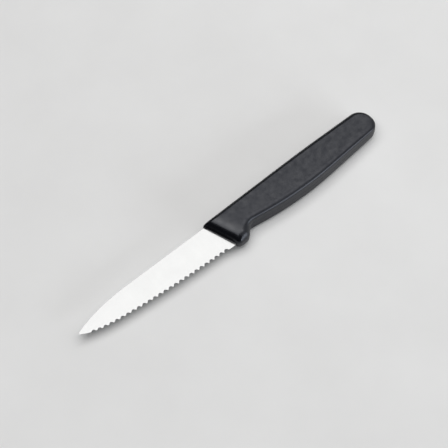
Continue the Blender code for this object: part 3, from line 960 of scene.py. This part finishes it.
def feed(tree, node, inputs):
    """Link a node's inputs to the sockets they are given, or set them to plain values."""
    for name, value in inputs.items():
        if isinstance(value, bpy.types.NodeSocket):
            tree.links.new(value, node.inputs[name])
        else:
            node.inputs[name].default_value = value


def add_node(tree, kind, inputs, **settings):
    node = tree.nodes.new(kind)
    for setting, value in settings.items():
        setattr(node, setting, value)
    feed(tree, node, inputs)
    return node


def compute(tree, operation, *values, clamp=False):
    """What a Math node makes of two or three values."""
    node = add_node(
        tree, "ShaderNodeMath", dict(enumerate(values)), operation=operation, use_clamp=clamp)
    return node.outputs[0]


def compute_vector(tree, operation, *values):
    """What a Vector Math node makes of two vectors."""
    node = add_node(tree, "ShaderNodeVectorMath", dict(enumerate(values)), operation=operation)
    return node.outputs[0]


def new_group(name, inputs, outputs):
    """An empty shader node group with named sockets, its way in and its way out."""
    tree = bpy.data.node_groups.new(name, "ShaderNodeTree")
    for socket_name, kind, value in inputs:
        socket = tree.interface.new_socket(name=socket_name, in_out="INPUT", socket_type=kind)
        if value is not None:
            socket.default_value = value
    for socket_name, kind in outputs:
        tree.interface.new_socket(name=socket_name, in_out="OUTPUT", socket_type=kind)
    entry = tree.nodes.new("NodeGroupInput")
    result = tree.nodes.new("NodeGroupOutput")
    return tree, entry, result


# %% [markdown]
# ## Surface effects that several finishes share
#
# Two effects serve more than one finish, so each is a node group with named sockets. Drawn
# lines are what a belt, a wheel or a cloth leaves: noise stretched a long way in one direction.
# A little slow noise bends them, because no hand or machine draws them quite straight.

# %% Build the group for drawn lines
METRES_PER_MM = 0.001
NOISE_MEAN = 0.5
SWAY_NOISE = {"Scale": 300.0, "Detail": 1.0}
COARSE_NOISE = {"Scale": 1.0, "Detail": 3.0, "Roughness": 0.65}
FINE_NOISE = {"Scale": 1.0, "Detail": 2.0, "Roughness": 0.6}
FINER_BY = (2.7, 1.6, 1.6)      # how much closer and shorter the fine lines are


def drawn_lines_group():
    """Long parallel lines across X: Lines is the mask from 0 to 1, Fine a second, finer set."""
    tree, entry, result = new_group(
        "drawn lines",
        [
            ("Place", "NodeSocketVector", None),
            ("Lines per Millimetre", "NodeSocketFloat", 8.0),
            ("Line Length", "NodeSocketFloat", 6.0),
            ("Waviness", "NodeSocketFloat", 0.02),
        ],
        [("Lines", "NodeSocketFloat"), ("Fine", "NodeSocketFloat")],
    )
    across = compute(tree, "MULTIPLY", entry.outputs["Lines per Millimetre"], MM_PER_METRE)
    along = compute(tree, "DIVIDE", MM_PER_METRE, entry.outputs["Line Length"])
    stretch = add_node(tree, "ShaderNodeCombineXYZ", {"X": across, "Y": along, "Z": along})
    sway = add_node(tree, "ShaderNodeTexNoise", {
        "Vector": entry.outputs["Place"], **SWAY_NOISE})
    swing = compute_vector(tree, "SUBTRACT", sway.outputs["Color"], (NOISE_MEAN,) * 3)
    reach = compute(tree, "MULTIPLY", entry.outputs["Waviness"], METRES_PER_MM)
    small = add_node(tree, "ShaderNodeVectorMath", {
        0: swing, "Scale": reach}, operation="SCALE")
    place = compute_vector(tree, "ADD", entry.outputs["Place"], small.outputs[0])
    stretched = compute_vector(tree, "MULTIPLY", place, stretch.outputs[0])
    finer = compute_vector(tree, "MULTIPLY", stretched, FINER_BY)
    coarse = add_node(tree, "ShaderNodeTexNoise", {"Vector": stretched, **COARSE_NOISE})
    fine = add_node(tree, "ShaderNodeTexNoise", {"Vector": finer, **FINE_NOISE})
    feed(tree, result, {"Lines": coarse.outputs["Fac"], "Fine": fine.outputs["Fac"]})
    return tree


drawn_lines = drawn_lines_group()
print(drawn_lines.name, "sockets:", [s.name for s in drawn_lines.interface.items_tree])

# %% [markdown]
# Mottle is soft, cloudy change from place to place, which keeps any large face from looking
# computer-made.

# %% Build the group for mottle
CLOUD_NOISE = {"Detail": 4.0, "Roughness": 0.55}


def mottle_group():
    """Cloudy change over Size millimetres, pushed apart by Contrast and centred on a half."""
    tree, entry, result = new_group(
        "mottle",
        [
            ("Place", "NodeSocketVector", None),
            ("Size", "NodeSocketFloat", 10.0),
            ("Contrast", "NodeSocketFloat", 1.0),
        ],
        [("Mask", "NodeSocketFloat")],
    )
    scale = compute(tree, "DIVIDE", MM_PER_METRE, entry.outputs["Size"])
    cloud = add_node(tree, "ShaderNodeTexNoise", {
        "Vector": entry.outputs["Place"], "Scale": scale, **CLOUD_NOISE})
    centred = compute(tree, "SUBTRACT", cloud.outputs["Fac"], NOISE_MEAN)
    mask = compute(
        tree, "MULTIPLY_ADD", centred, entry.outputs["Contrast"], NOISE_MEAN, clamp=True)
    feed(tree, result, {"Mask": mask})
    return tree


mottle = mottle_group()
print(mottle.name, "sockets:", [s.name for s in mottle.interface.items_tree])

# %% [markdown]
# Every finish starts from a new material's own shader node, and then takes the same few steps:
# a mask is stretched to a range, two colours are mixed by a mask, and a height tilts the
# surface a little. Each step is a helper, so that a finish below reads as a list of what the
# surface is like.

# %% Start a material, and the steps that each finish repeats


def new_material(name):
    """A material, its tree, its shader and the place on the object as a socket."""
    material = bpy.data.materials.new(name)
    material.use_nodes = True
    tree = material.node_tree
    shader = tree.nodes["Principled BSDF"]
    place = tree.nodes.new("ShaderNodeTexCoord")
    return material, tree, shader, place.outputs["Object"]


def place_group(tree, group, inputs):
    return add_node(tree, "ShaderNodeGroup", inputs, node_tree=group)


def span(tree, mask, low, high):
    """A mask from 0 to 1 turned into a value between low and high."""
    ranged = add_node(tree, "ShaderNodeMapRange", {
        "Value": mask, "To Min": low, "To Max": high})
    return ranged.outputs["Result"]


def mixed(tree, mask, dark, light):
    """A colour between two, as the mask says."""
    mix = add_node(
        tree, "ShaderNodeMix", {"Factor": mask, "A": dark, "B": light}, data_type="RGBA")
    return mix.outputs["Result"]


def bumped(tree, height, strength, distance):
    """The surface's direction, tilted by a height that a mask gives in shares of a distance."""
    bump = add_node(tree, "ShaderNodeBump", {
        "Height": height, "Strength": strength, "Distance": distance})
    return bump.outputs["Normal"]


# %% [markdown]
# ## Ground steel
#
# The blade is satin ground from spine to edge, so its fine lines run across the blade. Steel
# itself would reflect a little over half of the light that falls on it. The colours here are
# somewhat darker than that, because the ground flat mirrors the overhead panel straight into
# the camera and would burn out. The lines go into roughness and into a very shallow bump. A
# faint cloudiness stands for the film that washing leaves.

# %% Make the steel finish
STEEL_DARK = (0.412, 0.412, 0.410, 1.0)
STEEL_LIGHT = (0.458, 0.458, 0.455, 1.0)
GRIND_LINES = {"Lines per Millimetre": 9.0, "Line Length": 14.0, "Waviness": 0.03}
WATER_FILM = {"Size": 9.0, "Contrast": 1.4}
LINE_ROUGHNESS = (0.17, 0.29)
FILM_ROUGHNESS = (-0.02, 0.03)  # what the film adds
FINE_SHARE = 0.4                # of the fine lines in the height
LINE_STRENGTH = 0.25
LINE_HEIGHT = 0.00003


def ground_steel():
    material, tree, shader, place = new_material("ground_steel")
    lines = place_group(tree, drawn_lines, {"Place": place, **GRIND_LINES})
    film = place_group(tree, mottle, {"Place": place, **WATER_FILM}).outputs["Mask"]
    roughness = compute(
        tree, "ADD",
        span(tree, lines.outputs["Lines"], *LINE_ROUGHNESS), span(tree, film, *FILM_ROUGHNESS))
    height = compute(
        tree, "MULTIPLY_ADD", lines.outputs["Fine"], FINE_SHARE, lines.outputs["Lines"])
    feed(tree, shader, {
        "Base Color": mixed(tree, film, STEEL_DARK, STEEL_LIGHT),
        "Metallic": 1.0,
        "Roughness": roughness,
        "Normal": bumped(tree, height, LINE_STRENGTH, LINE_HEIGHT),
    })
    return material


steel_blade.data.materials.clear()
steel_blade.data.materials.append(ground_steel())
print("blade's finish:", steel_blade.data.materials.keys())

# %% [markdown]
# ## Moulded black plastic
#
# The mould's walls are spark-eroded, which prints a fine pebbled texture on the grip and gives
# it a satin look. The sloping front was left smooth in the mould, so it mirrors the dark room
# and looks almost black. Both finishes come from one function with different values.
#
# Hands leave their mark as a clear coat that is thicker here than there. They put a patchy
# film on the broad faces, and thumb and finger polish the shoulder just behind the front, less
# so towards the guard. The two are added up as one coat weight. The steep sides are touched
# less, so there the coat fades out and the mould's texture stays rougher.

# %% Describe where hands have touched the plastic
HAND_PATCHES = {"Size": 3.0, "Contrast": 3.0}
MOST_POLISH = 0.60
POLISH_START = 0.0045           # behind the front: full polish up to here
POLISH_END = 0.0095             # and none from here on
POLISH_WANES = 0.0120           # below the spine line: full polish up to here
GUARD_DOWN = 0.0180             # and at the guard only this share of it is left
GUARD_POLISH = 0.45
STEEPEST_TOUCH = 0.80           # the share of a face's normal that points out of a broad face
FLATTEST_TOUCH = 0.98


def broad_mask(tree):
    """A mask that is 1 on the broad faces and 0 where a face has turned to the side."""
    surface = add_node(tree, "ShaderNodeTexCoord", {})
    facing = add_node(tree, "ShaderNodeSeparateXYZ", {"Vector": surface.outputs["Normal"]})
    broad = add_node(tree, "ShaderNodeMapRange", {
        "Value": compute(tree, "ABSOLUTE", facing.outputs["Z"]),
        "From Min": STEEPEST_TOUCH, "From Max": FLATTEST_TOUCH})
    return broad.outputs["Result"]


def hand_film(tree, place, broad, most_film):
    """The weight of the clear coat that handling has left: patches, and a polished shoulder."""
    patches = place_group(tree, mottle, {"Place": place, **HAND_PATCHES})
    rearwards = heading(FRONT_RAKE).to_3d()
    behind = add_node(tree, "ShaderNodeVectorMath", {
        0: place, 1: rearwards}, operation="DOT_PRODUCT")
    polish = add_node(tree, "ShaderNodeMapRange", {
        "Value": behind.outputs["Value"],
        "From Min": rearwards.dot(CORNER) + POLISH_START,
        "From Max": rearwards.dot(CORNER) + POLISH_END,
        "To Min": MOST_POLISH, "To Max": 0.0}, interpolation_type="SMOOTHSTEP")
    spot = add_node(tree, "ShaderNodeSeparateXYZ", {"Vector": place})
    waning = add_node(tree, "ShaderNodeMapRange", {
        "Value": spot.outputs["Y"],
        "From Min": CORNER.y - GUARD_DOWN, "From Max": CORNER.y - POLISH_WANES,
        "To Min": GUARD_POLISH, "To Max": 1.0})
    film = compute(
        tree, "MULTIPLY_ADD", polish.outputs["Result"], waning.outputs["Result"],
        span(tree, patches.outputs["Mask"], 0.0, most_film))
    return compute(tree, "MULTIPLY", film, broad, clamp=True)


# %% [markdown]
# The pebbles are a cell pattern a quarter of a millimetre wide, with fine grit on top, and both
# are so shallow that only the blurred reflection tells of them. Scuffs and clouds vary the
# roughness. The black is a little blue, as carbon-black plastic is.

# %% Make the plastic finishes
PLASTIC_DARK = (0.0036, 0.0038, 0.0052, 1.0)
PLASTIC_LIGHT = (0.0052, 0.0056, 0.0074, 1.0)
PLASTIC_SHEEN = (0.86, 0.89, 1.0, 1.0)
PLASTIC_IOR = 1.49
PLASTIC_SPECULAR = 0.40
COAT_ROUGHNESS = 0.25
PLASTIC_CLOUD = {"Size": 14.0, "Contrast": 1.6}
SCUFFS = {"Lines per Millimetre": 0.6, "Line Length": 1.2, "Waviness": 2.0}
PEBBLES = {"Scale": 4200.0, "Randomness": 1.0}
GRIT_NOISE = {"Scale": 7000.0, "Detail": 2.0}
GRIT_SHARE = 0.5                # of the grit in the height
FULL_STRENGTH = 1.0


def black_plastic(name, roughness, rougher_sides, pebble_height, most_film):
    """Black plastic with its least and most roughness, before what steep sides add to it."""
    material, tree, shader, place = new_material(name)
    broad = broad_mask(tree)
    cloud = place_group(tree, mottle, {"Place": place, **PLASTIC_CLOUD}).outputs["Mask"]
    scuffs = place_group(tree, drawn_lines, {"Place": place, **SCUFFS}).outputs["Lines"]
    pebbles = add_node(
        tree, "ShaderNodeTexVoronoi", {"Vector": place, **PEBBLES}, feature="SMOOTH_F1")
    grit = add_node(tree, "ShaderNodeTexNoise", {"Vector": place, **GRIT_NOISE})
    height = compute(
        tree, "MULTIPLY_ADD", grit.outputs["Fac"], GRIT_SHARE, pebbles.outputs["Distance"])
    wear = compute(tree, "MULTIPLY", cloud, scuffs)
    rough = compute(
        tree, "ADD", span(tree, wear, *roughness), span(tree, broad, rougher_sides, 0.0))
    feed(tree, shader, {
        "Base Color": mixed(tree, cloud, PLASTIC_DARK, PLASTIC_LIGHT),
        "Metallic": 0.0,
        "Roughness": rough,
        "IOR": PLASTIC_IOR,
        "Normal": bumped(tree, height, FULL_STRENGTH, pebble_height),
        "Specular IOR Level": PLASTIC_SPECULAR,
        "Specular Tint": PLASTIC_SHEEN,
        "Coat Weight": hand_film(tree, place, broad, most_film),
        "Coat Roughness": COAT_ROUGHNESS,
    })
    return material


textured_plastic = black_plastic(
    "textured_plastic",
    roughness=(0.33, 0.45), rougher_sides=0.04, pebble_height=0.00001, most_film=0.34)
smooth_plastic = black_plastic(
    "smooth_plastic",
    roughness=(0.22, 0.32), rougher_sides=0.0, pebble_height=0.000002, most_film=0.0)
print("plastic:", len(textured_plastic.node_tree.nodes), "nodes in each finish")

# %% [markdown]
# The front's faces are found by their direction: they look towards the tip, and they lie
# within a few millimetres of the drawn front.

# %% Give the handle its two finishes
FRONT_DEPTH = 0.0036            # how far behind the drawn front the smooth finish reaches
FRONT_FACING = 0.35             # how much a face must look towards the tip

finishes = moulded_handle.data.materials
finishes.clear()
finishes.append(textured_plastic)
finishes.append(smooth_plastic)

to_tip = -heading(FRONT_RAKE)
smooth_faces = 0
for face in moulded_handle.data.polygons:
    centre = face.center - CORNER
    faces_tip = face.normal.x * to_tip.x + face.normal.y * to_tip.y > FRONT_FACING
    if faces_tip and front_distance(centre.x, centre.y) < FRONT_DEPTH:
        face.material_index = finishes.find(smooth_plastic.name)
        smooth_faces += 1
print("smooth front:", smooth_faces, "faces")

# %% [markdown]
# ## The floor
#
# A pale matt floor takes the soft shadow. It is a large square just under the knife, with a
# cloudy change of tone too faint to compete with it. Seen from below it is clear, so that the
# underside of the knife can be looked at too.

# %% Lay the floor
FLOOR_SIZE = 3.0
FLOOR_DARK = (0.695, 0.690, 0.684, 1.0)
FLOOR_LIGHT = (0.785, 0.784, 0.778, 1.0)
FLOOR_CLOUD = {"Size": 60.0, "Contrast": 1.0}
FLOOR_ROUGHNESS = (0.75, 0.9)
FLOOR_SPECULAR = 0.2


def pale_floor():
    material, tree, shader, place = new_material("pale_floor")
    cloud = place_group(tree, mottle, {"Place": place, **FLOOR_CLOUD}).outputs["Mask"]
    feed(tree, shader, {
        "Base Color": mixed(tree, cloud, FLOOR_DARK, FLOOR_LIGHT),
        "Roughness": span(tree, cloud, *FLOOR_ROUGHNESS),
        "Specular IOR Level": FLOOR_SPECULAR,
    })
    clear = add_node(tree, "ShaderNodeBsdfTransparent", {})
    side = add_node(tree, "ShaderNodeNewGeometry", {})
    either = add_node(tree, "ShaderNodeMixShader", {
        0: side.outputs["Backfacing"], 1: shader.outputs[0], 2: clear.outputs[0]})
    feed(tree, tree.nodes["Material Output"], {"Surface": either.outputs[0]})
    return material


work = bmesh.new()
bmesh.ops.create_grid(work, x_segments=1, y_segments=1, size=FLOOR_SIZE / 2)
floor_mesh = bpy.data.meshes.new("floor")
work.to_mesh(floor_mesh)
work.free()
floor_mesh.materials.append(pale_floor())
floor = bpy.data.objects.new("floor", floor_mesh)
bpy.context.scene.collection.objects.link(floor)
floor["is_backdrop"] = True
print("floor:", FLOOR_SIZE, "m across")

# %% [markdown]
# ## The light
#
# What a glossy black handle and a bright blade show is the studio. A wide panel overhead is
# all the sky that the broad faces see: the blade mirrors it and turns white, and the handle
# gets its even grey. The rounded edges look past the panel's rim into a dark room and turn
# black. A small lamp before the belly lifts that black a little there. Two white cards finish
# the sides: one low before the belly, which draws its light line, and one behind the butt.
#
# Places are given from the point that the camera looks at, so that the light stays with the
# knife.

# %% Hang the lamps and stand the cards
PANEL_PLACE = Vector((0.12, 0.14, 1.20))
PANEL_SIZE = (2.00, 1.28)
PANEL_POWER = 17.9
SIDE_PLACE = Vector((0.43, -0.71, 1.00))
SIDE_SIZE = (0.70, 0.70)
SIDE_POWER = 1.0
FRONT_CARD_PLACE = Vector((0.85, -1.60, 0.30))
FRONT_CARD_SIZE = (1.50, 0.60)
FRONT_CARD_POWER = 25.0
END_CARD_PLACE = Vector((1.60, -0.10, 0.85))
END_CARD_SIZE = (2.00, 1.50)
END_CARD_POWER = 6.5
DOWN = Vector((0, 0, -1))
TO_THE_SPINE = Vector((0, 1, 0))
TO_THE_TIP = Vector((-1, 0, 0))
NEUTRAL = (1.0, 1.0, 1.0)
COOL = (0.92, 0.96, 1.0)


def area_lamp(name, place, size, power, colour, facing, shape="RECTANGLE"):
    """A flat lamp of some width and height that shines in the direction it is given."""
    data = bpy.data.lights.new(name, "AREA")
    data.shape = shape
    data.size, data.size_y = size
    data.energy = power
    data.color = colour
    lamp = bpy.data.objects.new(name, data)
    lamp.location = LOOK_AT + place
    lamp.rotation_euler = facing.to_track_quat("-Z", "Y").to_euler()
    bpy.context.scene.collection.objects.link(lamp)
    print(name, "shines with", power, "W")


area_lamp("panel", PANEL_PLACE, PANEL_SIZE, PANEL_POWER, NEUTRAL, DOWN)
area_lamp("side_lamp", SIDE_PLACE, SIDE_SIZE, SIDE_POWER, NEUTRAL, -SIDE_PLACE, "ELLIPSE")
area_lamp(
    "front_card", FRONT_CARD_PLACE, FRONT_CARD_SIZE, FRONT_CARD_POWER, COOL, TO_THE_SPINE)
area_lamp("end_card", END_CARD_PLACE, END_CARD_SIZE, END_CARD_POWER, NEUTRAL, TO_THE_TIP)

# %% [markdown]
# ## The room
#
# The room is nearly dark to reflections, which is what makes the black edges. It is pale to
# the camera, so that low views still have a light backdrop.

# %% Darken the room
ROOM_LIGHT = 0.02
WHITE = (1.0, 1.0, 1.0, 1.0)
BACKDROP = (0.80, 0.80, 0.79, 1.0)
BACKDROP_LIGHT = 1.0

world = bpy.data.worlds.new("room")
world.use_nodes = True
bpy.context.scene.world = world
sky = world.node_tree
sky.nodes.clear()
seen = add_node(sky, "ShaderNodeLightPath", {})
dark_room = add_node(sky, "ShaderNodeBackground", {"Color": WHITE, "Strength": ROOM_LIGHT})
backdrop = add_node(sky, "ShaderNodeBackground", {
    "Color": BACKDROP, "Strength": BACKDROP_LIGHT})
either = add_node(sky, "ShaderNodeMixShader", {
    0: seen.outputs["Is Camera Ray"], 1: dark_room.outputs[0], 2: backdrop.outputs[0]})
add_node(sky, "ShaderNodeOutputWorld", {"Surface": either.outputs[0]})

bpy.context.scene.view_settings.view_transform = "Standard"
print("room light:", ROOM_LIGHT)

# %% [markdown]
# ## Tie the pieces to the frame
#
# Both fine meshes stand for their imported nodes and ride on the one body of the knife.

# %% Ride and replace
for piece, node, slot in (
    (steel_blade, "blade", "blade_steel"),
    (moulded_handle, "handle", "handle_plastic"),
):
    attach(piece, "root")
    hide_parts(node)

visual_box = [list(corner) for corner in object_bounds()]
for axis, letter in enumerate("XYZ"):
    cad_size = cad_box[1][axis] - cad_box[0][axis]
    visual_size = visual_box[1][axis] - visual_box[0][axis]
    print(letter, "differs by", mm(visual_size - cad_size), "mm")
